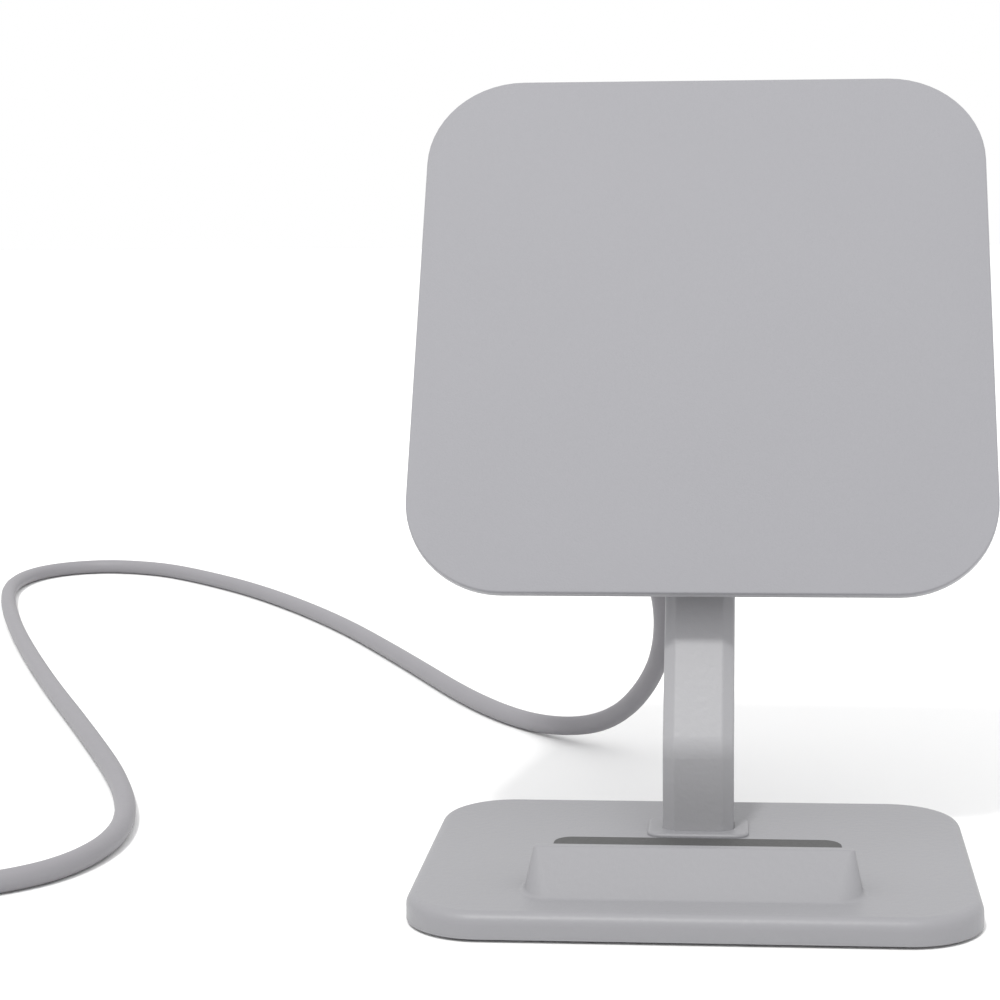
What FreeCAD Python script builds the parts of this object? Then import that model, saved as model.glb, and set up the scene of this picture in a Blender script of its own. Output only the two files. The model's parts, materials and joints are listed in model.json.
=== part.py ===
import FreeCAD, Part
import math
import os

# Upright wireless charging stand. Millimetres, +Z up, the viewer's side is -Y.
# The origin is on the table, under the middle of the base.

# --- Driving dimensions -------------------------------------------------------------------------------
PAD_SIDE = 100.0            # square pad, the driving size
PAD_CORNER = 17.0           # plan radius of the pad's corners
LEAN = 31.15                # degrees that the pad and the upper arm lean back
PAD_CENTRE = FreeCAD.Vector(0.0, 42.1, 87.0)    # middle of the pad's front surface
SKIN = 0.7                  # soft front skin
PLATE = 0.8                 # stiff plate under it
HEAD_DEPTH = 6.5            # whole thickness of the head
RIM = 0.2                   # straight edge of the rear cover before its back slopes in
BACK_SLOPE = 8.0            # how far the sloped back draws in
BACK_CORNER_SHARE = 0.6     # how much of that the corner radius loses
COVER_WALL = 1.2

BASE_WIDTH = 88.0
BASE_DEPTH = 67.5
BASE_CORNER = 12.0
BASE_TOP = 4.5              # height of the base's upper surface
BASE_SKIRT = 0.5            # gap between the table and the cover's lower edge
BASE_WALL = 1.2
BASE_ROUND = 1.8            # rounding along the base's upper edge
FOOT_THICK = 0.6
FLOOR_THICK = 0.8
BALLAST_THICK = 1.8
FIT = 0.05                  # play between stacked or sliding pieces
OVER = 0.1                  # how far a cutting shape runs past what it cuts

SCREW = 0.75                # radius of the small screws' shanks
SCREW_HEAD = 1.8            # radius of the cover screws' heads
SCREW_HEAD_DEEP = 1.0       # how deep they are sunk
CLEAR = 0.25                # play around a screw
POST_RADIUS = 2.4           # face plate's screw posts
POST_GAP = 1.0              # where the face plate's posts meet the cover's, above the cover's inside

LIP_FOOT = -26.6            # where the lip's sloped front meets the base
LIP_CREST_FRONT = -18.0
LIP_CREST_BACK = -16.2
LIP_BACK = -15.4            # where the lip's rear side meets the base
LIP_HEIGHT = 6.0
LIP_WIDTH = 52.0            # at its foot
LIP_DRAFT = 1.3             # how much narrower each end is at the crest
LIP_ROUND = 4.6             # rounding of the lip's front corners
LIP_BLEND = 1.0             # hollow rounding where the lip rises from the base

REST_WIDTH = 47.0
REST_BACK = 8.2
REST_THICK = 0.7
REST_SUNK = 0.45            # how deep the rest pad sits in the base
REST_CORNER = 3.0

ARM_WIDTH = 11.8
ARM_THICK = 6.5
ARM_CHAMFER_SIDE = 1.9
ARM_CHAMFER_DEEP = 1.3
ARM_ROUND = 0.8             # rounding of the arm's long edges
ARM_BEND = 7.0              # radius of the bend on the arm's front
ARM_SETBACK = 8.6           # from the pad's front surface to the upper arm's front face
ARM_END = 10.3              # arm's upper end, above the pad's middle along the slope

CARRIER_THICK = 1.6         # depths of the layers behind the face plate
COIL_NEAR, COIL_FAR = 0.25, 1.25
FERRITE_FAR, FERRITE_THICK = 2.25, 0.6
SHIELD_FAR, SHIELD_THICK = 2.8, 0.5
COIL_TURNS = 11
COIL_INNERMOST = 9.2        # radius of its first turn
COIL_PITCH = 1.2
COIL_GAP = 0.12
BOARD_MIDDLE = (13.5, -37.0)
BOARD_LIFT = 0.6            # from the rear cover's inside
BOARD_THICK = 0.8

CARRIAGE_LOW = -20.0        # slider bracket's lower and upper end along the slope
CARRIAGE_HIGH = 10.0
CARRIAGE_WIDTH = 21.0
BRACKET_SCREW_IN = 4.0      # how far its screws are from its ends
KEEPER_SCREW_IN = 9.0
LINER = 1.0
POCKET_IN = 8.0             # how far the shoe's pocket is from the bracket's ends
POCKET = 1.7                # depth of the bracket's pocket for the shoe and its spring
SHOE = 1.0                  # how far the shoe's rear is from the arm's face
KEEPER_THICK = 1.5
TRAVEL = 30.0               # the head slides this far down
STOP_GAP = 0.3

CORD = 3.8                  # diameter
CORD_SIDE = -10.0           # the cord leaves the head this far left of the middle
CORD_DOWN = -30.0           # and this far below its centre along the slope
BOOT_LENGTH = 12.0
BOOT_STRAIGHT = 11.4        # the cord's first corner is this far beyond its boot
COIL_CENTRE = (-150.0, -41.2)
COIL_RADIUS = 20.0          # of the middle of its turns

ANGLE = math.radians(LEAN)
UP = FreeCAD.Vector(0.0, math.sin(ANGLE), math.cos(ANGLE))          # up along the slope
OUT = FreeCAD.Vector(0.0, -math.cos(ANGLE), math.sin(ANGLE))        # out of the pad's front
Z_AXIS = FreeCAD.Vector(0, 0, 1)
X_AXIS = FreeCAD.Vector(1, 0, 0)

ARM_FACE = PAD_CENTRE - OUT * ARM_SETBACK       # the arm's front face behind the pad's middle

# The cord's route after its first corner: X, Y and height of each corner
CORD_DROP = [
    (-7.0, 64.0, 31.5),
    (-9.6, 75.5, 17.5),
    (-18.8, 88.5, 5.2),
]
CORD_ON_TABLE = [
    (-33.0, 98.3),
    (-49.0, 119.0),
    (-71.0, 165.0),
    (-95.0, 212.0),
    (-123.0, 254.0),
    (-147.0, 280.0),
    (-161.0, 291.0),
    (-177.5, 295.0),
    (-191.0, 286.5),
    (-195.0, 269.0),
    (-190.3, 245.0),
    (-173.3, 198.0),
    (-149.0, 141.0),
    (-125.5, 90.5),
    (-106.5, 47.5),
    (-98.5, 18.5),
    (-101.5, -3.5),
    (-113.0, -15.5),
    (-128.0, -19.6),
    (-141.5, -19.0),
]


def rounded_slab(width, depth, radius, low, high, middle=(0.0, 0.0)):
    """A flat slab with round corners in plan, from height low to high."""
    x, y = width / 2.0 - radius, depth / 2.0 - radius
    corners = [(x, -y, -90.0), (x, y, 0.0), (-x, y, 90.0), (-x, -y, 180.0)]
    edges = []
    last = None
    first = None
    for cx, cy, start in corners:
        centre = FreeCAD.Vector(middle[0] + cx, middle[1] + cy, low)
        arc = Part.Arc(Part.Circle(centre, Z_AXIS, radius), math.radians(start), math.radians(start + 90.0))
        if last is not None:
            edges.append(Part.LineSegment(last, arc.StartPoint).toShape())
        else:
            first = arc.StartPoint
        edges.append(arc.toShape())
        last = arc.EndPoint
    edges.append(Part.LineSegment(last, first).toShape())
    face = Part.Face(Part.Wire(edges))
    return face.extrude(FreeCAD.Vector(0, 0, high - low))


def box(x0, x1, y0, y1, z0, z1):
    return Part.makeBox(x1 - x0, y1 - y0, z1 - z0, FreeCAD.Vector(x0, y0, z0))


def rod(radius, x, y, low, high):
    return Part.makeCylinder(radius, high - low, FreeCAD.Vector(x, y, low))


def washer(outer, inner, low, high):
    """A flat ring about the Z axis."""
    return rod(outer, 0.0, 0.0, low, high).cut(rod(inner, 0.0, 0.0, low - OVER, high + OVER))


def edges_at(shape, height, axis=2, play=1e-4):
    """The edges of a shape that lie wholly at one height."""
    found = []
    for edge in shape.Edges:
        ends = edge.BoundBox
        low, high = [(ends.XMin, ends.XMax), (ends.YMin, ends.YMax), (ends.ZMin, ends.ZMax)][axis]
        if abs(low - height) < play and abs(high - height) < play:
            found.append(edge)
    return found


def cap_screw(shank, length, head, head_height):
    """A screw pointing up: its head's underside is at height 0 and its shank goes up from there."""
    body = Part.makeCylinder(head, head_height, FreeCAD.Vector(0, 0, -head_height))
    body = body.makeChamfer(0.2, edges_at(body, -head_height))
    slot = box(-head * 0.75, head * 0.75, -0.2, 0.2, -head_height, -head_height * 0.5)
    cross = box(-0.2, 0.2, -head * 0.75, head * 0.75, -head_height, -head_height * 0.5)
    return body.fuse(Part.makeCylinder(shank, length)).cut(slot).cut(cross).removeSplitter()


def placed(shape, x, y, z, turned=0.0):
    """A copy moved to a point, after a turn about X."""
    copy = shape.copy()
    place = FreeCAD.Placement(FreeCAD.Vector(x, y, z), FreeCAD.Rotation(X_AXIS, turned))
    copy.Placement = place.multiply(copy.Placement)
    return copy


def on_head(shape):
    """Moves a shape from the head's own frame (Y up the slope, Z out of the front) to its place."""
    copy = shape.copy()
    place = FreeCAD.Placement(PAD_CENTRE, FreeCAD.Rotation(X_AXIS, 90.0 - LEAN))
    copy.Placement = place.multiply(copy.Placement)
    return copy


def grouped(shapes):
    return Part.Compound(shapes)


def head_point(x, along, out):
    """A point given in the head's own frame."""
    return PAD_CENTRE + X_AXIS * x + UP * along + OUT * out


# --- Head: everything that slides on the arm, drawn in the head's own frame ------------------------------
FACE_BACK = -(SKIN + PLATE)                     # rear of the stiff face plate
BACK = -HEAD_DEPTH                              # flat middle of the rear cover
SCREW_POSTS = [(x, y) for x in (-35.5, 35.5) for y in (-35.5, 35.5)]
CHEEK = CARRIAGE_WIDTH / 2.0 - 1.8              # middle of the bracket's side cheeks


def flat_wire(shape, height):
    """The outline of a shape's flat face at one height."""
    for face in shape.Faces:
        if face.BoundBox.ZLength < 1e-6 and abs(face.BoundBox.ZMin - height) < 1e-6:
            return face.OuterWire
    raise ValueError("no flat face at that height")


def sloped_tray(side, radius, rim_top, rim_low, floor, slope):
    """A square slab whose back draws in by slope on its way from rim_low to floor."""
    rim = rounded_slab(side, side, radius, rim_low, rim_top)
    narrow = rounded_slab(side - 2 * slope, side - 2 * slope, radius - slope * BACK_CORNER_SHARE,
                          floor, rim_low)
    back = Part.makeLoft([flat_wire(narrow, floor), flat_wire(rim, rim_low)], True, True)
    return rim.fuse(back).removeSplitter()


def pad_skin():
    """Soft skin: flat front, with its edge rounded over the face plate."""
    skin = rounded_slab(PAD_SIDE, PAD_SIDE, PAD_CORNER, -SKIN, 0.0)
    return skin.makeFillet(SKIN * 0.7, edges_at(skin, 0.0))


def face_plate():
    """Stiff plate under the skin, with a post for each screw."""
    plate = rounded_slab(PAD_SIDE, PAD_SIDE, PAD_CORNER, FACE_BACK, -SKIN)
    low = BACK + COVER_WALL + POST_GAP
    for x, y in SCREW_POSTS:
        plate = plate.fuse(rod(POST_RADIUS, x, y, low, FACE_BACK))
        plate = plate.cut(rod(SCREW + FIT, x, y, low - OVER, FACE_BACK + PLATE / 2.0))
    return plate


def rear_cover():
    """Rear shell with a thin rim and a back that slopes in, hollow inside."""
    rim_low = FACE_BACK - RIM
    shell = sloped_tray(PAD_SIDE, PAD_CORNER, FACE_BACK, rim_low, BACK, BACK_SLOPE)
    hollow = sloped_tray(PAD_SIDE - 2 * COVER_WALL, PAD_CORNER - COVER_WALL, FACE_BACK + FIT, rim_low,
                         BACK + COVER_WALL, BACK_SLOPE)
    shell = shell.cut(hollow)
    inside = BACK + COVER_WALL
    for x, y in SCREW_POSTS:
        shell = shell.fuse(rod(POST_RADIUS + 0.2, x, y, BACK, inside + POST_GAP - FIT))
        shell = shell.cut(rod(SCREW + CLEAR, x, y, BACK - OVER, inside + POST_GAP + OVER))
        shell = shell.cut(rod(SCREW_HEAD + CLEAR, x, y, BACK - OVER, BACK + SCREW_HEAD_DEEP))
    for x, y in bracket_holes():
        shell = shell.cut(rod(SCREW + CLEAR, x, y, BACK - OVER, inside + OVER))
    return shell.cut(rod(CORD / 2.0 + 0.6, CORD_SIDE, CORD_DOWN, BACK - OVER, inside + OVER))


def cheek_places(inward):
    """Four places in the bracket's cheeks, each this far in from its end."""
    return [(side * CHEEK, y) for side in (-1, 1) for y in (CARRIAGE_LOW + inward, CARRIAGE_HIGH - inward)]


def bracket_holes():
    return cheek_places(BRACKET_SCREW_IN)


def keeper_holes():
    return cheek_places(KEEPER_SCREW_IN)


def cover_screws():
    """From behind, through the rear cover into the face plate's posts."""
    screw = cap_screw(SCREW, 4.2, SCREW_HEAD, 0.8)
    return grouped([placed(screw, x, y, BACK + SCREW_HEAD_DEEP - FIT) for x, y in SCREW_POSTS])


def coil_carrier():
    """Ring that holds the coil behind the face plate."""
    low, high = FACE_BACK - CARRIER_THICK, FACE_BACK - FIT
    rim_outer, rim_inner, hub_outer, hub_inner = 27.5, 22.6, 8.8, 6.0
    reach, half, thick = 24.0, 1.2, 0.3
    spoke = box(-reach, reach, -half, half, low, low + thick)
    crossing = box(-half, half, -reach, reach, low, low + thick)
    hub = washer(hub_outer, hub_inner, low, high)
    carrier = washer(rim_outer, rim_inner, low, high).fuse([hub, spoke, crossing])
    return carrier.cut(rod(hub_inner, 0.0, 0.0, low - OVER, high + OVER)).removeSplitter()


def charging_coil():
    """Flat spiral winding, drawn as rings side by side with a bridge between each pair."""
    low, high = FACE_BACK - COIL_FAR, FACE_BACK - COIL_NEAR
    rings, bridges = [], []
    for turn in range(COIL_TURNS):
        inner = COIL_INNERMOST + turn * COIL_PITCH
        rings.append(washer(inner + COIL_PITCH - COIL_GAP, inner, low, high))
    for turn in range(1, COIL_TURNS):
        start = COIL_INNERMOST + turn * COIL_PITCH - 0.3
        bridge = box(start, start + 0.5, -0.5, 0.5, low + 0.2, high - 0.2)
        bridge.rotate(FreeCAD.Vector(0, 0, 0), Z_AXIS, (turn - 1) * 30.0)
        bridges.append(bridge)
    return rings[0].fuse(rings[1:] + bridges).removeSplitter()


def ferrite_sheet():
    low = FACE_BACK - FERRITE_FAR
    return rounded_slab(56.0, 56.0, 6.0, low, low + FERRITE_THICK)


def shield_plate():
    """Aluminium sheet behind the ferrite that spreads heat."""
    low = FACE_BACK - SHIELD_FAR
    return rounded_slab(62.0, 58.0, 5.0, low, low + SHIELD_THICK)


def circuit_board():
    low = BACK + COVER_WALL + BOARD_LIFT
    return rounded_slab(35.0, 9.0, 1.5, low, low + BOARD_THICK, BOARD_MIDDLE)


def board_parts():
    """The components on the board: driver chips, capacitors and a choke."""
    top = BACK + COVER_WALL + BOARD_LIFT + BOARD_THICK + 0.02
    chips = [(1.0, 4.0, 4.0, 0.9), (8.0, 5.0, 5.0, 0.8), (15.0, 4.0, 4.0, 0.9)]
    parts = [rounded_slab(w, d, 0.3, top, top + h, (x, BOARD_MIDDLE[1])) for x, w, d, h in chips]
    for index in range(5):
        parts.append(box(19.0 + index * 2.0, 20.2 + index * 2.0, -39.5, -37.5, top, top + 0.7))
    parts.append(rod(1.6, 24.0, -34.8, top, top + 1.2))
    return grouped(parts)


def slider_bracket():
    """Block on the rear cover that wraps the front and both sides of the arm."""
    back = -(ARM_SETBACK + ARM_THICK)
    block = box(-CARRIAGE_WIDTH / 2, CARRIAGE_WIDTH / 2, CARRIAGE_LOW, CARRIAGE_HIGH, back, BACK - 0.01)
    block = block.makeFillet(1.5, [e for e in block.Edges if e.BoundBox.ZLength > 5.0])
    channel = ARM_WIDTH / 2 + FIT + LINER
    block = block.cut(box(-channel, channel, CARRIAGE_LOW - 1, CARRIAGE_HIGH + 1, back - 1,
                          -ARM_SETBACK + FIT))
    block = block.cut(box(-3.0, 3.0, CARRIAGE_LOW + POCKET_IN, CARRIAGE_HIGH - POCKET_IN, -ARM_SETBACK - 1.0,
                          -ARM_SETBACK + POCKET))
    for x, y in bracket_holes():
        block = block.cut(rod(0.8, x, y, BACK - 6.0, BACK + 0.1))
    for x, y in keeper_holes():
        block = block.cut(rod(0.8, x, y, back - 0.1, back + 5.0))
    return block


def guide_liners():
    """Two slippery strips between the bracket's cheeks and the arm's sides."""
    near = ARM_WIDTH / 2 + FIT
    strips = []
    for side in (-1, 1):
        x0, x1 = sorted((side * near, side * (near + LINER - 0.02)))
        strips.append(box(x0, x1, CARRIAGE_LOW + 0.3, CARRIAGE_HIGH - 0.3, -(ARM_SETBACK + ARM_THICK) + 0.1,
                          -ARM_SETBACK - 0.2))
    return grouped(strips)


def friction_shoe():
    """Pad that presses on the arm's front face, in the bracket's pocket."""
    return rounded_slab(5.8, 13.6, 0.8, -ARM_SETBACK + FIT, -ARM_SETBACK + SHOE, (0.0, -5.0))


def leaf_spring():
    """Bowed strip of spring steel that pushes the shoe."""
    low = -ARM_SETBACK + SHOE + 0.03
    spring = box(-2.4, 2.4, -11.5, 1.5, low, low + 0.2)
    legs = [box(-2.4, 2.4, y, y + 1.2, low + 0.2, -ARM_SETBACK + POCKET - FIT) for y in (-11.5, 0.3)]
    return spring.fuse(legs).removeSplitter()


def bracket_screws():
    screw = cap_screw(SCREW, 5.6, 1.5, 0.8)
    return grouped([placed(screw, x, y, BACK + COVER_WALL, 180.0) for x, y in bracket_holes()])


def keeper_plate():
    """Plate that closes the bracket behind the arm."""
    top = -(ARM_SETBACK + ARM_THICK) - FIT
    plate = rounded_slab(CARRIAGE_WIDTH, CARRIAGE_HIGH - CARRIAGE_LOW, 1.5, top - KEEPER_THICK, top,
                         (0.0, (CARRIAGE_HIGH + CARRIAGE_LOW) / 2))
    plate = plate.makeChamfer(0.4, edges_at(plate, top - KEEPER_THICK))
    for x, y in keeper_holes():
        plate = plate.cut(rod(0.9, x, y, top - KEEPER_THICK - 0.1, top + 0.1))
    return plate


def keeper_screws():
    low = -(ARM_SETBACK + ARM_THICK) - FIT - KEEPER_THICK
    screw = cap_screw(SCREW, 5.4, 1.5, 0.7)
    return grouped([placed(screw, x, y, low - 0.01) for x, y in keeper_holes()])


def cord_boot():
    """Strain relief: a flange inside the rear cover and a ribbed taper outside it."""
    neck = CORD / 2 + 0.5
    profile = [(0.0, 1.0), (3.4, 1.0), (3.4, FIT), (neck, FIT), (neck, -COVER_WALL - FIT),
               (3.3, -COVER_WALL - FIT), (3.1, -3.4)]
    ribs = 4
    for index in range(ribs):
        depth = 4.2 + index * 1.9
        reach = 2.9 - index * 0.2
        profile += [(reach - 0.5, -depth), (reach - 0.5, -depth - 0.5), (reach, -depth - 0.9),
                    (reach - 0.05, -depth - 1.5)]
    end = -(COVER_WALL + BOOT_LENGTH)
    profile += [(CORD / 2 + 0.25, end), (0.0, end)]
    points = [FreeCAD.Vector(r, 0.0, z) for r, z in profile]
    face = Part.Face(Part.makePolygon(points + points[:1]))
    boot = face.revolve(FreeCAD.Vector(0, 0, 0), Z_AXIS, 360)
    return placed(boot, CORD_SIDE, CORD_DOWN, BACK + COVER_WALL)


# --- Stand: the arm and what is fixed to it ---------------------------------------------------------------
ARM_KNEE = 19.2             # height where the arm's two straight faces would meet
ARM_FOOT = FOOT_THICK + FLOOR_THICK + BALLAST_THICK + 3 * FIT
KNEE = FreeCAD.Vector(0.0, ARM_FACE.y + (ARM_KNEE - ARM_FACE.z) * UP.y / UP.z, ARM_KNEE)
ARM_MIDDLE = KNEE.y + ARM_THICK / 2.0           # where the foot's centre is, front to back
ARM_SCREWS = (-3.2, 3.2)
STOP_PLACE = CARRIAGE_LOW - TRAVEL - STOP_GAP - 1.6
FLOOR_SCREWS = [(x, y) for x in (-35.0, 35.0) for y in (-24.5, 24.5)]


def arm_section(height, play):
    """The arm's outline, cut level: chamfered in front, with every corner rounded."""
    side, back = ARM_WIDTH / 2.0 + play, ARM_THICK + play
    flat = ARM_WIDTH / 2.0 - ARM_CHAMFER_SIDE
    outline = [(-flat, -play), (flat, -play), (side, ARM_CHAMFER_DEEP), (side, back), (-side, back),
               (-side, ARM_CHAMFER_DEEP)]
    corners = [FreeCAD.Vector(x, KNEE.y + y, height) for x, y in outline]
    arcs = []
    for before, corner, after in zip(corners[-1:] + corners[:-1], corners, corners[1:] + corners[:1]):
        back_way, on_way = (before - corner).normalize(), (after - corner).normalize()
        half = back_way.getAngle(on_way) / 2.0
        reach = ARM_ROUND / math.tan(half)
        inward = (back_way + on_way).normalize() * (ARM_ROUND / math.sin(half) - ARM_ROUND)
        arcs.append((corner + back_way * reach, corner + inward, corner + on_way * reach))
    edges = []
    for arc, following in zip(arcs, arcs[1:] + arcs[:1]):
        edges.append(Part.Arc(*arc).toShape())
        edges.append(Part.LineSegment(arc[2], following[0]).toShape())
    return Part.Wire(edges)


def arm_hole(low, high):
    """What the arm takes out of a flat piece that it passes through."""
    return Part.Face(arm_section(low, FIT)).extrude(FreeCAD.Vector(0.0, 0.0, high - low))


def stem_arm():
    """Solid bar: up from the base, round the bend and on along the slope."""
    tangent = ARM_BEND * math.tan(ANGLE / 2.0)
    foot = FreeCAD.Vector(0.0, KNEE.y, ARM_FOOT)
    low = KNEE - Z_AXIS * tangent
    high = KNEE + UP * tangent
    top = ARM_FACE + UP * ARM_END
    centre = low + FreeCAD.Vector(0.0, ARM_BEND, 0.0)
    half = ANGLE / 2.0
    middle = centre + FreeCAD.Vector(0.0, -math.cos(half), math.sin(half)) * ARM_BEND
    path = Part.Wire([
        Part.LineSegment(foot, low).toShape(),
        Part.Arc(low, middle, high).toShape(),
        Part.LineSegment(high, top).toShape(),
    ])
    arm = path.makePipeShell([arm_section(ARM_FOOT, 0.0)], True, True)
    for x in ARM_SCREWS:
        arm = arm.cut(rod(1.0, x, ARM_MIDDLE, ARM_FOOT - 0.1, ARM_FOOT + 7.0))
    arm_back = -(ARM_SETBACK + ARM_THICK)
    arm = arm.cut(on_head(rod(0.8, 0.0, STOP_PLACE, arm_back - 0.1, arm_back + 4.5)))
    cap_hole = Part.makeCylinder(0.8, 6.0, head_point(0.0, ARM_END - 6.0, arm_back + ARM_THICK / 2), UP)
    return arm.cut(cap_hole)


def arm_cap():
    """End cap, wider than the slider's channel, so that the head can't come off the arm."""
    front, back = -ARM_SETBACK + 0.6, -(ARM_SETBACK + ARM_THICK) - 0.7
    cap = box(-8.0, 8.0, ARM_END + FIT, ARM_END + 3.2, back, front)
    cap = cap.makeFillet(1.2, [e for e in cap.Edges if e.BoundBox.YLength > 2.0])
    cap = cap.makeFillet(0.6, edges_at(cap, ARM_END + 3.2, 1))
    hole = Part.makeCylinder(0.9, 5.0, FreeCAD.Vector(0, ARM_END - 0.5, (front + back) / 2 + 0.05),
                             FreeCAD.Vector(0, 1, 0))
    return on_head(cap.cut(hole))


def cap_fastener():
    screw = cap_screw(SCREW, 7.0, 1.5, 0.8)
    return on_head(placed(screw, 0.0, ARM_END + 3.22, -(ARM_SETBACK + ARM_THICK / 2), 90.0))


def stop_screw():
    """Its head stands out behind the arm and stops the slider's downward travel."""
    screw = cap_screw(SCREW, 4.0, 1.6, 1.4)
    return on_head(placed(screw, 0.0, STOP_PLACE, -(ARM_SETBACK + ARM_THICK) - 0.02))


def foot_collar():
    """Low ring where the arm enters the base."""
    front, back = KNEE.y - 2.2, KNEE.y + ARM_THICK + 2.5
    ring = rounded_slab(16.8, back - front, 2.4, BASE_TOP + 0.02, BASE_TOP + 0.6, (0.0, (front + back) / 2.0))
    ring = ring.makeFillet(0.5, edges_at(ring, BASE_TOP + 0.6))
    return ring.cut(arm_hole(BASE_TOP - 1.0, BASE_TOP + 2.0))


# --- Stand: the base ----------------------------------------------------------------------------------------
def lip():
    """Wedge with a sloped front, a narrow crest and a steep rear side."""
    low, high = BASE_TOP - 0.4, BASE_TOP + LIP_HEIGHT
    foot = rounded_slab(LIP_WIDTH, LIP_BACK - LIP_FOOT, LIP_ROUND, low - 1, low,
                        (0.0, (LIP_BACK + LIP_FOOT) / 2))
    crest_depth = LIP_CREST_BACK - LIP_CREST_FRONT
    crest = rounded_slab(LIP_WIDTH - 2 * LIP_DRAFT, crest_depth, crest_depth * 0.42, high, high + 1,
                         (0.0, (LIP_CREST_BACK + LIP_CREST_FRONT) / 2))
    wedge = Part.makeLoft([flat_wire(foot, low), flat_wire(crest, high)], True, True)
    return wedge.makeFillet(0.5, edges_at(wedge, high))


def lip_foot_edges(cover):
    """The edges where the lip meets the base's upper surface."""
    reach = LIP_WIDTH / 2.0 + 1.0
    found = []
    for edge in edges_at(cover, BASE_TOP):
        ends = edge.BoundBox
        beside = -reach < ends.XMin and ends.XMax < reach
        if beside and LIP_FOOT - 1.0 < ends.YMin and ends.YMax < LIP_BACK + 1.0:
            found.append(edge)
    return found


def rest_seat(play):
    """The rest pad's flat part, or the recess that it sits in."""
    front = LIP_BACK + 0.6
    low = BASE_TOP - REST_SUNK
    return rounded_slab(REST_WIDTH + 2 * play, REST_BACK - front + 2 * play, REST_CORNER, low - play,
                        low + REST_THICK + 5 * play, (0.0, (REST_BACK + front) / 2))


def base_cover():
    """Cast cover: shallow tray upside down, with the lip on top and bosses inside."""
    cover = rounded_slab(BASE_WIDTH, BASE_DEPTH, BASE_CORNER, BASE_SKIRT, BASE_TOP)
    cover = cover.makeFillet(BASE_ROUND, edges_at(cover, BASE_TOP))
    roof = BASE_TOP - 1.1
    cover = cover.cut(rounded_slab(BASE_WIDTH - 2 * BASE_WALL, BASE_DEPTH - 2 * BASE_WALL,
                                   BASE_CORNER - BASE_WALL, BASE_SKIRT - 1, roof))
    cover = cover.fuse(lip()).removeSplitter()
    cover = cover.makeFillet(LIP_BLEND, lip_foot_edges(cover))
    cover = cover.cut(rest_seat(0.02))
    for x, y in FLOOR_SCREWS:
        cover = cover.fuse(rod(2.2, x, y, FOOT_THICK + FLOOR_THICK + 2 * FIT, roof + 0.2))
        cover = cover.cut(rod(0.8, x, y, 0.0, BASE_TOP - 0.6))
    return cover.cut(arm_hole(roof - 1.0, BASE_TOP + 1.0))


def rest_pad():
    """Soft pad behind the lip, which also lines the lip's rear side."""
    flat = rest_seat(0.0)
    top = BASE_TOP + LIP_HEIGHT - 1.0
    slope = (LIP_BACK - LIP_CREST_BACK) / LIP_HEIGHT
    half = REST_WIDTH / 2 - 0.4
    profile = [(LIP_BACK + LIP_BLEND, BASE_TOP + 0.1), (LIP_BACK + 1.4, BASE_TOP + 0.1),
               (LIP_BACK + 0.75 - slope * (top - BASE_TOP), top),
               (LIP_BACK + 0.06 - slope * (top - BASE_TOP), top),
               (LIP_BACK + 0.06, BASE_TOP + LIP_BLEND + 0.1)]
    points = [FreeCAD.Vector(-half, y, z) for y, z in profile]
    riser = Part.Face(Part.makePolygon(points + points[:1])).extrude(FreeCAD.Vector(2 * half, 0, 0))
    return flat.fuse(riser).removeSplitter()


def base_floor():
    plate = rounded_slab(BASE_WIDTH - 2 * BASE_WALL - 0.2, BASE_DEPTH - 2 * BASE_WALL - 0.2,
                         BASE_CORNER - BASE_WALL, FOOT_THICK + FIT, FOOT_THICK + FIT + FLOOR_THICK)
    return pierced(plate, 1.0)


def ballast_plate():
    low = FOOT_THICK + FLOOR_THICK + 2 * FIT
    plate = rounded_slab(BASE_WIDTH - 2 * BASE_WALL - 1.0, BASE_DEPTH - 2 * BASE_WALL - 1.0,
                         BASE_CORNER - BASE_WALL - 0.5, low, low + BALLAST_THICK)
    for x, y in FLOOR_SCREWS:
        plate = plate.cut(rod(2.6, x, y, low - 1, low + BALLAST_THICK + 1))
    return pierced(plate, 1.0)


def foot_pad():
    pad = rounded_slab(BASE_WIDTH - 7.0, BASE_DEPTH - 7.0, BASE_CORNER - 3.0, 0.0, FOOT_THICK)
    return pierced(pad, 2.5)


def pierced(plate, radius):
    """A flat piece with a hole for each screw that comes from below."""
    for x, y in FLOOR_SCREWS + [(x, ARM_MIDDLE) for x in ARM_SCREWS]:
        plate = plate.cut(rod(radius, x, y, -1.0, BASE_TOP + 1.0))
    return plate


def floor_screws():
    screw = cap_screw(SCREW, 2.7, 1.9, 0.5)
    return grouped([placed(screw, x, y, FOOT_THICK + 0.03) for x, y in FLOOR_SCREWS])


def arm_screws():
    screw = cap_screw(0.9, 8.0, 1.9, 0.5)
    return grouped([placed(screw, x, ARM_MIDDLE, FOOT_THICK + 0.03) for x in ARM_SCREWS])


# --- Cord and plug ------------------------------------------------------------------------------------------
PLUG_MIDDLE = 3.5           # height of the plug's centre when it lies flat
COIL_TURN = COIL_RADIUS + CORD / 2.0            # middle of the outermost turn
TAIL = [
    (COIL_CENTRE[0] - COIL_TURN, COIL_CENTRE[1] - 4.0, CORD * 1.4),
    (COIL_CENTRE[0] - COIL_TURN - 0.6, COIL_CENTRE[1] - 15.0, PLUG_MIDDLE + 0.2),
    (COIL_CENTRE[0] - COIL_TURN - 0.3, COIL_CENTRE[1] - 27.0, PLUG_MIDDLE),
]
PLUG_FRONT = TAIL[-1][1]


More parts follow.
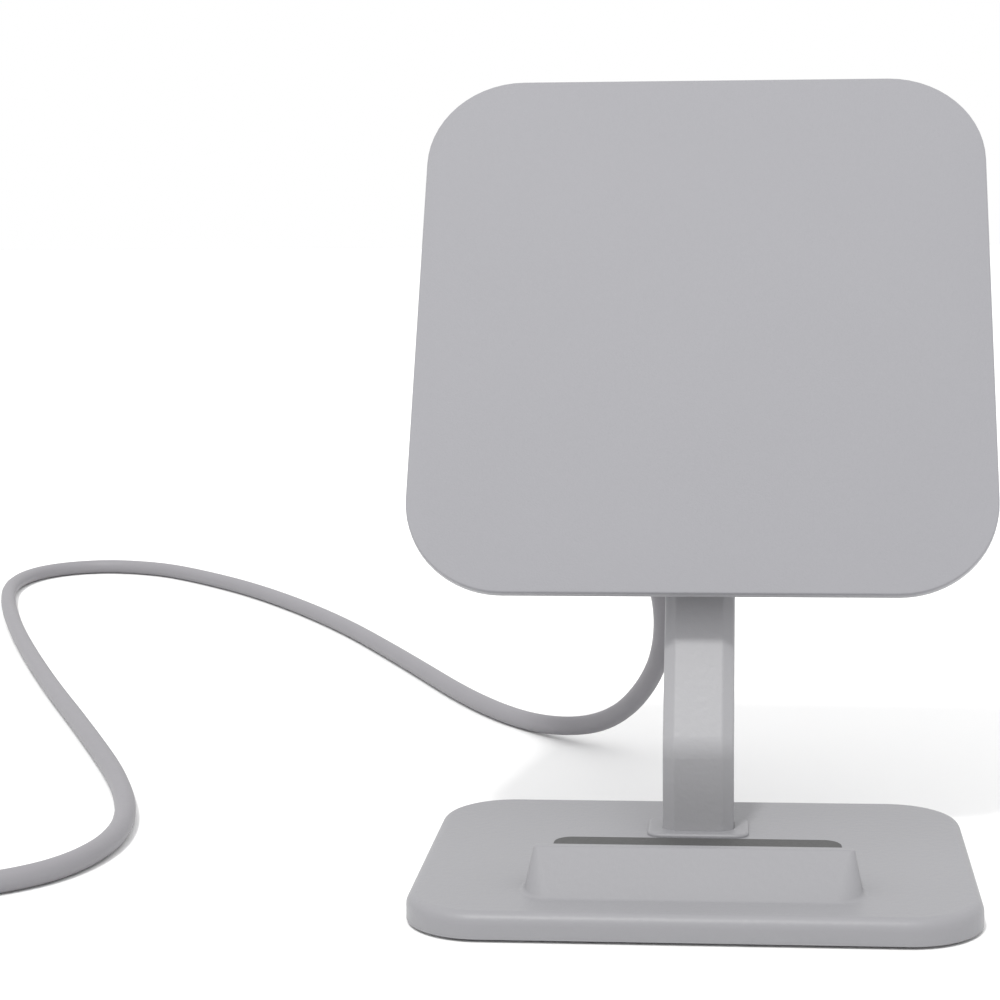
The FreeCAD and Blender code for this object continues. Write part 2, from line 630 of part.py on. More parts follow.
def tube(points, name):
    """A plain tube along straight runs joined by tangent arcs; prints the arcs' radii and its length."""
    points = [FreeCAD.Vector(*p) for p in points]
    edges, radii = [], []
    at = points[0]
    for before, corner, after in zip(points, points[1:], points[2:]):
        back, ahead = before - corner, after - corner
        shorter = min(back.Length, ahead.Length)
        turn = math.pi - back.getAngle(ahead)
        radii.append(0.45 * shorter / math.tan(turn / 2.0))
        start = corner + back.normalize() * (0.45 * shorter)
        end = corner + ahead.normalize() * (0.45 * shorter)
        sagitta = radii[-1] * (1.0 / math.cos(turn / 2.0) - 1.0)
        inward = (back + ahead).normalize()
        edges.append(Part.LineSegment(at, start).toShape())
        edges.append(Part.Arc(start, corner + inward * sagitta, end).toShape())
        at = end
    edges.append(Part.LineSegment(at, points[-1]).toShape())
    path = Part.Wire(edges)
    direction = points[1] - points[0]
    section = Part.Wire(Part.makeCircle(CORD / 2.0, points[0], direction))
    shape = path.makePipeShell([section], True, True)
    share = shape.Volume / (math.pi * CORD ** 2 / 4.0 * path.Length)
    print(name, "radii", [round(r, 1) for r in radii])
    print(name, "length", round(path.Length, 1), "share of a full tube's volume", round(share, 4))
    return shape


def cord():
    start = head_point(CORD_SIDE, CORD_DOWN, BACK - BOOT_LENGTH - FIT)
    route = [tuple(start), tuple(start - OUT * BOOT_STRAIGHT)] + CORD_DROP
    route += [(x, y, CORD / 2.0) for x, y in CORD_ON_TABLE]
    return tube(route, "cord")


def cord_tail():
    return tube(TAIL, "cord_tail")


def cord_coil():
    """The outer shape of four neat turns, two beside two."""
    outer, inner, high = COIL_RADIUS + CORD, COIL_RADIUS - CORD, CORD * 2.0
    ring = Part.makeCylinder(outer, high, FreeCAD.Vector(COIL_CENTRE[0], COIL_CENTRE[1], 0.0))
    ring = ring.cut(Part.makeCylinder(inner, high, FreeCAD.Vector(COIL_CENTRE[0], COIL_CENTRE[1], 0.0)))
    return ring.makeFillet(CORD * 0.45, edges_at(ring, 0.0) + edges_at(ring, high))


def cord_clip():
    """Springy clip pressed down over the four turns."""
    reach, high, thick = CORD * 1.14, CORD * 2.0 + 0.1, 0.9
    x, y = COIL_CENTRE[0] + COIL_RADIUS, COIL_CENTRE[1]
    outer = box(x - reach - thick, x + reach + thick, y - 3.0, y + 3.0, 0.0, high + thick)
    inner = box(x - reach, x + reach, y - 4.0, y + 4.0, -1.0, high)
    rounded = [e for e in outer.Edges if e.BoundBox.YLength > 5.0 and e.BoundBox.ZMin > 1.0]
    return outer.makeFillet(0.8, rounded).cut(inner)


def plug_at(shape):
    """Moves a plug piece, drawn along -Y from the cord's end, to its place."""
    copy = shape.copy()
    copy.translate(FreeCAD.Vector(TAIL[-1][0], PLUG_FRONT, PLUG_MIDDLE))
    return copy


def plug_relief():
    taper = Part.makeCone(CORD / 2 + 0.3, 3.2, 11.0, FreeCAD.Vector(0, 0, 0), FreeCAD.Vector(0, -1, 0))
    for index in range(4):
        depth = 1.8 + index * 2.0
        groove = Part.makeCylinder(6.0, 0.8, FreeCAD.Vector(0, -depth, 0), FreeCAD.Vector(0, -1, 0))
        core = Part.makeCylinder(CORD / 2 + 0.1, 0.8, FreeCAD.Vector(0, -depth, 0), FreeCAD.Vector(0, -1, 0))
        taper = taper.cut(groove.cut(core))
    return plug_at(taper)


def plug_body():
    body = box(-7.6, 7.6, -33.0, -11.02, -3.5, 3.5)
    body = body.makeFillet(1.6, [e for e in body.Edges if e.BoundBox.YLength > 5.0])
    body = body.makeFillet(0.8, edges_at(body, -33.0, 1) + edges_at(body, -11.02, 1))
    socket = box(-6.05, 6.05, -34.0, -26.0, -2.3, 2.3)
    return plug_at(body.cut(socket))


def plug_shell():
    shell = box(-6.0, 6.0, -45.0, -26.05, -2.25, 2.25)
    shell = shell.makeFillet(0.5, [e for e in shell.Edges if e.BoundBox.YLength > 5.0])
    shell = shell.cut(box(-5.7, 5.7, -46.0, -26.4, -1.95, 1.95))
    for side in (-1, 1):
        for low in (-3.0, 1.5):
            shell = shell.cut(box(side * 2.9 - 1.1, side * 2.9 + 1.1, -41.5, -39.3, low, low + 1.5))
    return plug_at(shell)


def plug_insert():
    return plug_at(box(-5.6, 5.6, -44.0, -26.45, -1.85, 0.05))


def plug_contacts():
    strips = []
    for x, back in ((-3.5, -43.0), (-1.0, -42.0), (1.0, -42.0), (3.5, -43.0)):
        strips.append(plug_at(box(x - 0.5, x + 0.5, back, -32.0, 0.07, 0.27)))
    return grouped(strips)


HEAD_PIECES = [
    pad_skin, face_plate, rear_cover, cover_screws, coil_carrier, charging_coil, ferrite_sheet, shield_plate,
    circuit_board, board_parts, slider_bracket, guide_liners, friction_shoe, leaf_spring, bracket_screws,
    keeper_plate, keeper_screws, cord_boot,
]
STAND_PIECES = [
    stem_arm, arm_cap, cap_fastener, stop_screw, foot_collar, base_cover, rest_pad, base_floor, ballast_plate,
    foot_pad, floor_screws, arm_screws, cord, cord_coil, cord_clip, cord_tail, plug_relief, plug_body,
    plug_shell, plug_insert, plug_contacts,
]


def main():
    """Writes one file for each piece, named after the function that makes it."""
    os.makedirs("parts", exist_ok=True)
    for make in HEAD_PIECES:
        on_head(make()).exportStep("parts/" + make.__name__ + ".step")
    for make in STAND_PIECES:
        make().exportStep("parts/" + make.__name__ + ".step")


main()
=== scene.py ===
import json
import math

import bpy
from mathutils import Euler, Matrix, Vector


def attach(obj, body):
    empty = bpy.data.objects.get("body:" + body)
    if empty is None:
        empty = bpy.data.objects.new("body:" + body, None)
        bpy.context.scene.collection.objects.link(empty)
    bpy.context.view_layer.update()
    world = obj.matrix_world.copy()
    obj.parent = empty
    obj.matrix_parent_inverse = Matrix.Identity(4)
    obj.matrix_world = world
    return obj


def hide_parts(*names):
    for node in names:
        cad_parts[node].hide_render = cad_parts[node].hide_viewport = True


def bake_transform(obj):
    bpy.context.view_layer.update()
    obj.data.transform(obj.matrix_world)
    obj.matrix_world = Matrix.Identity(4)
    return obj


# Upright wireless charging stand. Metres, +Z up, the user's side is -Y. The origin is on the table, under
# the middle of the base.

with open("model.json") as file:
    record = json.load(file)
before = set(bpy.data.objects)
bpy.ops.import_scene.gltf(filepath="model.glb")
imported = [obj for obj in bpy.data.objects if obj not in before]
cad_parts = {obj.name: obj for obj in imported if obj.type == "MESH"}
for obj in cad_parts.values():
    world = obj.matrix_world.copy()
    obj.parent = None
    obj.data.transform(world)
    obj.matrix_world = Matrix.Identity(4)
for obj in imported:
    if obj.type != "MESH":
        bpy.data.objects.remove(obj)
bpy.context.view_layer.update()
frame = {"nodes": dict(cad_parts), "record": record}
node = frame["nodes"]
bpy.ops.object.select_all(action="DESELECT")

MM = 0.001
LEAN = math.radians(31.15)                      # the pad and the upper arm lean back this far
OUT_OF_PAD = Vector((0.0, -math.cos(LEAN), math.sin(LEAN)))
PAD_CENTRE = Vector((0.0, 42.1, 87.0)) * MM     # middle of the pad's front surface
PAD_FRAME = Matrix.Translation(PAD_CENTRE) @ Euler((math.pi / 2 - LEAN, 0.0, 0.0)).to_matrix().to_4x4()

# --- Camera ------------------------------------------------------------------------------------------------
CAMERA_PLACE = Vector((9.71, -382.28, 114.78)) * MM
CAMERA_TURNED = math.radians(4.679)             # towards -X
CAMERA_DOWN = math.radians(7.837)
CAMERA_ROLL = math.radians(-0.492)
LENS = 87.74                                    # focal length in millimetres
SENSOR_WIDTH = 36.0                             # millimetres
SHIFT = -0.06                                   # sideways, in widths of the view
NEAREST, FARTHEST = 0.01, 20.0                  # metres


def add_camera():
    data = bpy.data.cameras.new("camera")
    data.lens = LENS
    data.sensor_width = SENSOR_WIDTH
    data.shift_x = SHIFT
    data.clip_start = NEAREST
    data.clip_end = FARTHEST
    camera = bpy.data.objects.new("camera", data)
    bpy.context.scene.collection.objects.link(camera)
    facing = Matrix.Rotation(CAMERA_TURNED, 4, "Z") @ Matrix.Rotation(math.pi / 2 - CAMERA_DOWN, 4, "X")
    camera.matrix_world = Matrix.Translation(CAMERA_PLACE) @ facing @ Matrix.Rotation(CAMERA_ROLL, 4, "Z")
    bpy.context.scene.camera = camera


add_camera()

# --- Cord --------------------------------------------------------------------------------------------------
CORD = 3.8 * MM                                 # diameter
# The strain relief's place on the pad, from the pad's middle, and the cord's own start, in millimetres.
BOOT_ACROSS, BOOT_ALONG = -10.0, -30.0
CORD_DEPTH = -18.55                             # behind the pad's front
FIRST_REACH = 11.4                              # the first leg of its route, square to the pad's back
CORD_EXIT = PAD_FRAME @ (Vector((BOOT_ACROSS, BOOT_ALONG, CORD_DEPTH)) * MM)
FIRST_CORNER = CORD_EXIT - OUT_OF_PAD * FIRST_REACH * MM
# The corners that steer the cord, in millimetres: falling to the table, then lying on it.
CORD_DROP = [
    (-7.0, 64.0, 31.5),
    (-9.6, 75.5, 17.5),
    (-18.8, 88.5, 5.2),
]
CORD_ON_TABLE = [
    (-33.0, 98.3),
    (-49.0, 119.0),
    (-71.0, 165.0),
    (-95.0, 212.0),
    (-123.0, 254.0),
    (-147.0, 280.0),
    (-161.0, 291.0),
    (-177.5, 295.0),
    (-191.0, 286.5),
    (-195.0, 269.0),
    (-190.3, 245.0),
    (-173.3, 198.0),
    (-149.0, 141.0),
    (-125.5, 90.5),
    (-106.5, 47.5),
    (-98.5, 18.5),
    (-101.5, -3.5),
    (-113.0, -15.5),
    (-128.0, -19.6),
    (-141.5, -19.0),
]
COIL_CENTRE = Vector((-150.0, -41.2, 0.0)) * MM
COIL_RADIUS = 20.0 * MM
POINTS_PER_TURN = 16
QUARTER_TURN = POINTS_PER_TURN // 4
WHOLE_TURNS = 4
# Each turn's side (1 outside, -1 inside) in cord radii, and its height in cord diameters.
LAYERS = [(1, 0.5), (-1, 0.5), (-1, 1.5), (1, 1.5), (1, 1.5)]
COIL_SWELL = 0.7                                # makes up for most of the corners that the curve cuts off
CURVE_STEPS = 10                                # pieces of curve between two corners
TUBE_STEPS = 5                                  # fineness of the tube's round section
TAIL = [
    (-172.5, -56.2, 3.7),
    (-172.25, -63.2, 3.5),
    (-172.2, -68.2, 3.5),
]


def coil_points():
    """Turn after turn: outer low, inner low, inner high, outer high, then a quarter turn to the tail."""
    points = []
    outside = 1.0 / math.cos(math.pi / POINTS_PER_TURN) ** COIL_SWELL
    for index in range(WHOLE_TURNS * POINTS_PER_TURN + QUARTER_TURN + 1):
        turn, step = divmod(index, POINTS_PER_TURN)
        side, height = LAYERS[turn]
        if turn:
            share = min(1.0, step / QUARTER_TURN)
            old_side, old_height = LAYERS[turn - 1]
            side = old_side + (side - old_side) * share
            height = old_height + (height - old_height) * share
        angle = math.pi / 2 + 2 * math.pi * index / POINTS_PER_TURN
        radius = (COIL_RADIUS + side * CORD / 2) * outside
        offset = Vector((radius * math.cos(angle), radius * math.sin(angle), height * CORD))
        points.append(COIL_CENTRE + offset)
    return points


def cord_route():
    """Every corner that steers the cord, from the pad to the plug."""
    route = [CORD_EXIT, FIRST_CORNER]
    route += [Vector(p) * MM for p in CORD_DROP]
    route += [Vector((x * MM, y * MM, CORD / 2)) for x, y in CORD_ON_TABLE]
    route += coil_points()
    return route + [Vector(p) * MM for p in TAIL]


def spline_object(name, points, thickness):
    """A smooth open curve whose control points are the route's own."""
    curve = bpy.data.curves.new(name, "CURVE")
    curve.dimensions = "3D"
    curve.resolution_u = CURVE_STEPS
    spline = curve.splines.new("NURBS")
    spline.points.add(len(points) - 1)
    for slot, point in zip(spline.points, points):
        slot.co = (*point, 1.0)
    spline.order_u = 3
    spline.use_endpoint_u = True
    curve.bevel_depth = thickness / 2
    curve.bevel_resolution = TUBE_STEPS
    curve.use_fill_caps = True
    piece = bpy.data.objects.new(name, curve)
    bpy.context.scene.collection.objects.link(piece)
    return piece


def centreline(points):
    """The places along the same spline, in order, read from the curve without its thickness."""
    guide = spline_object("cord_guide", points, 0.0)
    graph = bpy.context.evaluated_depsgraph_get()
    mesh = bpy.data.meshes.new_from_object(guide.evaluated_get(graph))
    places = [v.co.copy() for v in mesh.vertices]
    bpy.data.objects.remove(guide)
    return places


def make_cord():
    """The whole cord as one tube, which bends between the pad's boot and the table."""
    route = cord_route()
    soft = spline_object("cord_curve", route, CORD)
    graph = bpy.context.evaluated_depsgraph_get()
    mesh = bpy.data.meshes.new_from_object(soft.evaluated_get(graph))
    bpy.data.objects.remove(soft)
    cord = bpy.data.objects.new("power_cord", mesh)
    bpy.context.scene.collection.objects.link(cord)
    for face in mesh.polygons:
        face.use_smooth = True
    path = centreline(route)
    length = sum((b - a).length for a, b in zip(path, path[1:]))
    print("cord length", round(length, 4), "faces", len(mesh.polygons))
    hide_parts("cord", "cord_coil", "cord_tail")
    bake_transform(cord)
    return cord, path


cord, cord_path = make_cord()

# --- Modelled pieces ---------------------------------------------------------------------------------------
PAD_SIDE, PAD_CORNER = 100 * MM, 17 * MM
SKIN, SKIN_ROLL = 0.7 * MM, 0.3 * MM            # the skin's thickness, and the roll of its edge
LIP_BACK = -15.4 * MM                           # rear of the lip at the base
LIP_LEAN = math.radians(7.6)                    # how far that side leans forward
# The rest liner and its riser up the lip's rear side are near-black silicone. Seen just behind the lip's
# crest, they are partly a real rest pad and partly painted shade, standing in for the shadow there.
REST_WIDTH, REST_FRONT, REST_BACK = 47 * MM, -14.8 * MM, 8.2 * MM
REST_LOW, REST_HIGH = 4.05 * MM, 4.75 * MM
REST_CORNER, REST_EDGE = 3 * MM, 0.25 * MM
RIB_COUNT, FIRST_RIB, RIB_PITCH = 6, -11.5, 2.6         # ribs of the liner, in millimetres
RIB_SIZE, RIB_EDGE = (42 * MM, 1.1 * MM, 0.4 * MM), 0.15 * MM
RISER_SIZE, RISER_EDGE = (45.6 * MM, 0.68 * MM, 5.0 * MM), 0.25 * MM
RISER_BEHIND, RISER_UP = 0.35 * MM, 2.3 * MM            # its middle, from the lip's rear and the liner's top
FOOT_WIDTH, FOOT_DEPTH, FOOT_THICK = 81 * MM, 60.5 * MM, 0.6 * MM
FOOT_CORNER, FOOT_LOW, FOOT_EDGE = 9 * MM, 0.12 * MM, 0.15 * MM
TREAD_COUNT, TREAD_PITCH = 9, 8.0                       # tread bars of the foot sheet, in millimetres
TREAD_SIZE, TREAD_EDGE = (3.0 * MM, 46 * MM, 0.32 * MM), 0.12 * MM
CORNER_STEPS, EDGE_STEPS, BAR_STEPS = 14, 5, 4          # fineness of the roundings
ROUND_SIDES = 48
FLAT_ANGLE, ROUND_ANGLE = 35.0, 50.0                    # sharper edges than this stay sharp, in degrees


def start(name):
    """Opens the object that an operator has just added, for editing."""
    piece = bpy.context.object
    piece.name = name
    bpy.ops.object.mode_set(mode="EDIT")
    bpy.ops.mesh.select_all(action="SELECT")
    return piece


def close(piece, place=Matrix.Identity(4), angle=FLAT_ANGLE):
    """Ends editing, bakes the piece's place into its mesh and smooths all but its sharp edges."""
    bpy.ops.mesh.select_all(action="SELECT")
    bpy.ops.mesh.normals_make_consistent(inside=False)
    bpy.ops.object.mode_set(mode="OBJECT")
    piece.matrix_world = place @ piece.matrix_world
    bpy.ops.object.transform_apply(location=True, rotation=True, scale=True)
    bpy.ops.object.shade_smooth_by_angle(angle=math.radians(angle))
    bpy.ops.object.select_all(action="DESELECT")
    return piece


def slab(name, width, depth, corner, low, high, edge, middle=(0.0, 0.0)):
    """Starts a flat slab with round corners in plan and a soft upper edge; it stays open for editing."""
    bpy.ops.mesh.primitive_plane_add(size=1.0, location=(0.0, 0.0, 0.0))
    piece = start(name)
    bpy.ops.transform.resize(value=(width, depth, 1.0))
    bpy.ops.transform.translate(value=(middle[0], middle[1], low))
    bpy.ops.mesh.bevel(offset=corner, segments=CORNER_STEPS, affect="VERTICES")
    bpy.ops.mesh.extrude_region_move(TRANSFORM_OT_translate={"value": (0.0, 0.0, high - low)})
    bpy.ops.mesh.bevel(offset=edge, segments=EDGE_STEPS, affect="EDGES")
    return piece


def bar(centre, size, soften, lean=0.0):
    """Adds a bar with rounded edges to the mesh being edited."""
    bpy.ops.mesh.select_all(action="DESELECT")
    bpy.ops.mesh.primitive_cube_add(size=1.0, location=centre)
    bpy.ops.transform.resize(value=size, center_override=centre)
    bpy.ops.transform.rotate(value=lean, orient_axis="X", center_override=centre)
    bpy.ops.mesh.bevel(offset=soften, segments=BAR_STEPS, affect="EDGES")


def turned(name, profile, place):
    """A round piece built ring by ring along Z: (radius, height) of each ring in millimetres."""
    radius, height = profile[0]
    bpy.ops.mesh.primitive_circle_add(vertices=ROUND_SIDES, radius=radius * MM, fill_type="NGON",
                                      location=(0.0, 0.0, height * MM))
    piece = start(name)
    for wider, higher in profile[1:]:
        share = wider / radius
        rise = (0.0, 0.0, (higher - height) * MM)
        bpy.ops.mesh.extrude_region_move(TRANSFORM_OT_translate={"value": rise})
        bpy.ops.transform.resize(value=(share, share, 1.0), center_override=(0.0, 0.0, higher * MM))
        radius, height = wider, higher
    return close(piece, place, ROUND_ANGLE)


def front_skin():
    """The soft-touch face: flat, with its edge rolled over the plate behind it."""
    piece = slab("front_skin", PAD_SIDE, PAD_SIDE, PAD_CORNER, -SKIN, 0.0, SKIN_ROLL)
    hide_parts("pad_skin")
    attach(piece, "head")
    return close(piece, PAD_FRAME)


def rest_liner_and_painted_shade():
    """Silicone liner: flat where the phone stands, with fine ribs, and up the lip's rear side. Its near-black
    colour, seen behind the lip's crest, is partly painted shade.
    """
    middle = (REST_FRONT + REST_BACK) / 2
    piece = slab("rest_liner_and_painted_shade", REST_WIDTH, REST_BACK - REST_FRONT, REST_CORNER, REST_LOW, REST_HIGH,
                 REST_EDGE, (0.0, middle))
    for index in range(RIB_COUNT):
        bar((0.0, (FIRST_RIB + RIB_PITCH * index) * MM, REST_HIGH), RIB_SIZE, RIB_EDGE)
    bar((0.0, LIP_BACK + RISER_BEHIND, REST_HIGH + RISER_UP), RISER_SIZE, RISER_EDGE, LIP_LEAN)
    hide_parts("rest_pad")
    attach(piece, "stand")
    return close(piece)


def foot_sheet():
    """Non-slip sheet under the base, with moulded bars that touch the table."""
    piece = slab("foot_sheet", FOOT_WIDTH, FOOT_DEPTH, FOOT_CORNER, FOOT_LOW, FOOT_THICK, FOOT_EDGE)
    for index in range(TREAD_COUNT):
        side = (index - TREAD_COUNT // 2) * TREAD_PITCH * MM
        bar((side, 0.0, TREAD_SIZE[2] / 2), TREAD_SIZE, TREAD_EDGE)
    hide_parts("foot_pad")
    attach(piece, "stand")
    return close(piece)


# Strain reliefs: (radius, height) of each ring in millimetres: a flange or neck, four ribs, the far end.
BOOT_BASE = -5.3                                        # the pad relief's place behind the pad's front
BOOT_FLANGE = [(2.4, 0.9), (3.3, 0.9), (3.3, -1.5), (3.3, -3.0), (3.1, -3.4)]
BOOT_RIB = [(-0.5, 0.0), (-0.5, -0.6), (-0.12, -0.8), (0.0, -1.05), (-0.02, -1.4), (-0.16, -1.6)]
BOOT_END = [(2.25, -12.0), (2.2, -13.2), (2.05, -13.4)]
RELIEF_NECK = [(2.1, -0.2), (2.3, 0.0), (2.4, 1.4)]
RELIEF_RIB = [(-0.5, 0.0), (-0.5, 0.6), (-0.1, 0.8), (0.0, 1.05), (0.02, 1.5), (-0.1, 1.7)]
RELIEF_END = [(2.8, 9.9), (3.1, 10.2), (3.15, 11.0)]
RIBS_EACH = 4                                           # ribs of each strain relief


def ribs(shape, reach, height, wider, higher):
    """Rings of a row of ribs: each is the same shape, moved on from the rib before it."""
    rings = []
    for index in range(RIBS_EACH):
        rings += [(reach + wider * index + out, height + higher * index + up) for out, up in shape]
    return rings


def pad_boot():
    """Strain relief where the cord leaves the pad's back."""
    profile = BOOT_FLANGE + ribs(BOOT_RIB, reach=2.95, height=-4.0, wider=-0.2, higher=-1.9) + BOOT_END
    place = PAD_FRAME @ Matrix.Translation(Vector((BOOT_ACROSS, BOOT_ALONG, BOOT_BASE)) * MM)
    piece = turned("pad_boot", profile, place)
    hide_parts("cord_boot")
    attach(piece, "head")
    return piece


def plug_boot():
    """Strain relief between the cord's end and the plug."""
    profile = RELIEF_NECK + ribs(RELIEF_RIB, reach=2.45, height=2.0, wider=0.2, higher=2.0) + RELIEF_END
    place = Matrix.Translation(Vector(TAIL[-1]) * MM) @ Matrix.Rotation(math.pi / 2, 4, "X")
    piece = turned("plug_boot", profile, place)
    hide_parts("plug_relief")
    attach(piece, "stand")
    return piece


skin = front_skin()
liner = rest_liner_and_painted_shade()
sheet = foot_sheet()
boot = pad_boot()
relief = plug_boot()
([boot, relief] + [node[n] for n in (
            "plug_body", "plug_shell", "plug_insert", "plug_contacts", "cord_clip")])

# --- Floor and light ---------------------------------------------------------------------------------------
FLOOR_SIZE = 6.0
SKY_SIDES = 0.95                                # the room's brightness at the horizon
SKY_OVERHEAD = 1.3
AIM = Vector((0.0, 10.0, 40.0)) * MM
KEY_AZIMUTH, KEY_ELEVATION = 20.0, 62.0
KEY_DISTANCE, KEY_SIZE, KEY_POWER = 4.0, 0.45, 88.0
KEY_COLOUR = (1.0, 1.0, 0.98)


def add_floor():
    bpy.ops.mesh.primitive_plane_add(size=FLOOR_SIZE)
    floor = bpy.context.object
    floor.name = "floor"
    return floor


def area_light(name, place, target, size, power, colour):
    data = bpy.data.lights.new(name, "AREA")
    data.size = size
    data.energy = power
    data.color = colour
    light = bpy.data.objects.new(name, data)
    bpy.context.scene.collection.objects.link(light)
    light.location = place
    light.rotation_mode = "QUATERNION"
    light.rotation_quaternion = (Vector(place) - Vector(target)).to_track_quat("Z", "Y")


def direction(azimuth, elevation):
    """Unit vector from the object towards a light; azimuth 0 is the user's side, positive is to the left."""
    a, e = math.radians(azimuth), math.radians(elevation)
    return Vector((-math.sin(a) * math.cos(e), -math.cos(a) * math.cos(e), math.sin(e)))


def soft_sky():
    """A room brighter overhead than at its sides; what the camera sees of it is never below white."""
    world = bpy.data.worlds.new("studio")
    bpy.context.scene.world = world
    world.use_nodes = True
    tree = world.node_tree
    background = tree.nodes["Background"]
    background.inputs["Color"].default_value = (1.0, 1.0, 1.0, 1.0)
    place = tree.nodes.new("ShaderNodeTexCoord")
    split = tree.nodes.new("ShaderNodeSeparateXYZ")
    height = tree.nodes.new("ShaderNodeMath")
    height.operation = "MULTIPLY_ADD"
    height.inputs[1].default_value = SKY_OVERHEAD - SKY_SIDES
    height.inputs[2].default_value = SKY_SIDES
    light_path = tree.nodes.new("ShaderNodeLightPath")
    choice = tree.nodes.new("ShaderNodeMath")
    choice.operation = "MAXIMUM"
    tree.links.new(place.outputs["Generated"], split.inputs[0])
    tree.links.new(split.outputs["Z"], height.inputs[0])
    tree.links.new(height.outputs[0], choice.inputs[0])
    tree.links.new(light_path.outputs["Is Camera Ray"], choice.inputs[1])
    tree.links.new(choice.outputs[0], background.inputs["Strength"])


floor = add_floor()
KEY_PLACE = AIM + direction(KEY_AZIMUTH, KEY_ELEVATION) * KEY_DISTANCE
area_light("key", KEY_PLACE, AIM, KEY_SIZE, KEY_POWER, KEY_COLOUR)
soft_sky()
bpy.context.scene.view_settings.view_transform = "Standard"

# --- Shader maths ------------------------------------------------------------------------------------------


class Socket:
    """An output of a material's node, so that shader maths reads as plain arithmetic."""

    def __init__(self, tree, output):
        self.tree = tree
        self.output = output

    def maths(self, operation, *values):
        made = self.tree.nodes.new("ShaderNodeMath")
        made.operation = operation
        for slot, value in zip(made.inputs, values):
            if isinstance(value, Socket):
                self.tree.links.new(value.output, slot)
            else:
                slot.default_value = value
        return Socket(self.tree, made.outputs[0])

    def __add__(self, other):
        return self.maths("ADD", self, other)

    def __radd__(self, other):
        return self.maths("ADD", other, self)

    def __mul__(self, other):
        return self.maths("MULTIPLY", self, other)

    def __rmul__(self, other):
        return self.maths("MULTIPLY", other, self)


class Finish:
    """One material and the nodes that make it."""

    def __init__(self, name):
        self.material = bpy.data.materials.new(name)
        self.material.use_nodes = True
        self.tree = self.material.node_tree
        self.shader = self.tree.nodes["Principled BSDF"]
        self.place = self.node("TexCoord", {}, {}, "Object")

    def node(self, kind, settings, values, output=0):
        """Adds one node: its settings first, then the values or links of its sockets."""
        made = self.tree.nodes.new("ShaderNode" + kind)
        for key, value in settings.items():
            setattr(made, key, value)
        for key, value in values.items():
            self.feed(made.inputs[key], value)
        return Socket(self.tree, made.outputs[output])

    def feed(self, slot, value):
        if isinstance(value, Socket):
            self.tree.links.new(value.output, slot)
        else:
            slot.default_value = value

    def noise(self, scale, detail=2.0, rough=0.5, where=None):
        values = {"Vector": where or self.place, "Scale": scale, "Detail": detail, "Roughness": rough}
        return self.node("TexNoise", {}, values, "Fac")

    def blend(self, share, first, second):
        """A colour between two, by share."""
        made = self.tree.nodes.new("ShaderNodeMix")
        made.data_type = "RGBA"
        self.feed(made.inputs["Factor"], share)
        self.feed(made.inputs["A"], first)
        self.feed(made.inputs["B"], second)
        return Socket(self.tree, made.outputs["Result"])

    def bump(self, height, distance, strength=1.0):
        values = {"Height": height, "Distance": distance, "Strength": strength}
        return self.node("Bump", {}, values, "Normal")

    def surface(self, **values):
        """Sets the shader's inputs by their names in small letters, and hands back the material."""
        for key, value in values.items():
            label = key.replace("_", " ").title().replace("Ior", "IOR")
            self.feed(self.shader.inputs[label], value)
        return self.material


SKIN_TINT = (0.985, 0.98, 1.05)
JACKET_TINT = (1.0, 0.975, 1.04)


def grey(level, tint=(1.0, 1.0, 1.0)):
    """A grey of this brightness, shifted slightly by the tint."""
    return tuple(level * t for t in tint) + (1.0,)


def soft_skin():
    """Soft-touch skin: matte, with a fine grain and the faintest cloudiness."""
    f = Finish("soft_skin")
    cloud = f.noise(scale=38.0, detail=3.0)
    grain = f.noise(scale=2600.0)
    colour = f.blend(cloud, grey(0.246, SKIN_TINT), grey(0.253, SKIN_TINT))
    return f.surface(base_color=colour, roughness=0.62 + 0.1 * grain, normal=f.bump(grain, distance=0.00003),
                     sheen_weight=0.15, sheen_roughness=0.5)


def moulded(name, level, tint=(1.0, 1.0, 1.02), rough=0.42):
    """Moulded plastic with a spark-eroded texture."""
    f = Finish(name)
    grain = f.noise(scale=1900.0, detail=3.0)
    cloud = f.noise(scale=55.0)
    colour = f.blend(cloud, grey(level * 0.97, tint), grey(level * 1.03, tint))
    return f.surface(base_color=colour, roughness=rough + 0.12 * grain,
                     normal=f.bump(grain, distance=0.00004))


def powder_coat(name, level, tint=(1.0, 1.0, 1.01)):
    """Satin powder coat on metal: fine orange peel under a soft gloss."""
    f = Finish(name)
    peel = f.noise(scale=900.0)
    fleck = f.noise(scale=4200.0, detail=1.0)
    cloud = f.noise(scale=42.0)
    colour = f.blend(cloud, grey(level * 0.98, tint), grey(level * 1.02, tint))
    return f.surface(base_color=colour, roughness=0.4 + 0.12 * fleck, normal=f.bump(peel, distance=0.00005),
                     specular_ior_level=0.45)


def silicone():
    """Dark matte silicone with a trace of dust. On the rest liner its near-black colour is partly painted
    shade behind the lip's crest.
    """
    f = Finish("rest_silicone")
    grain = f.noise(scale=1400.0)
    dust = f.noise(scale=120.0, detail=4.0)
    colour = f.blend(dust, grey(0.05), grey(0.065))
    return f.surface(base_color=colour, roughness=0.62 + 0.14 * grain, normal=f.bump(grain, distance=0.00003))


def jacket():
    """The cord's rubbery jacket."""
    f = Finish("cord_jacket")
    grain = f.noise(scale=1500.0)
    cloud = f.noise(scale=60.0)
    colour = f.blend(cloud, grey(0.215, JACKET_TINT), grey(0.23, JACKET_TINT))
    return f.surface(base_color=colour, roughness=0.5 + 0.1 * grain, normal=f.bump(grain, distance=0.00002))


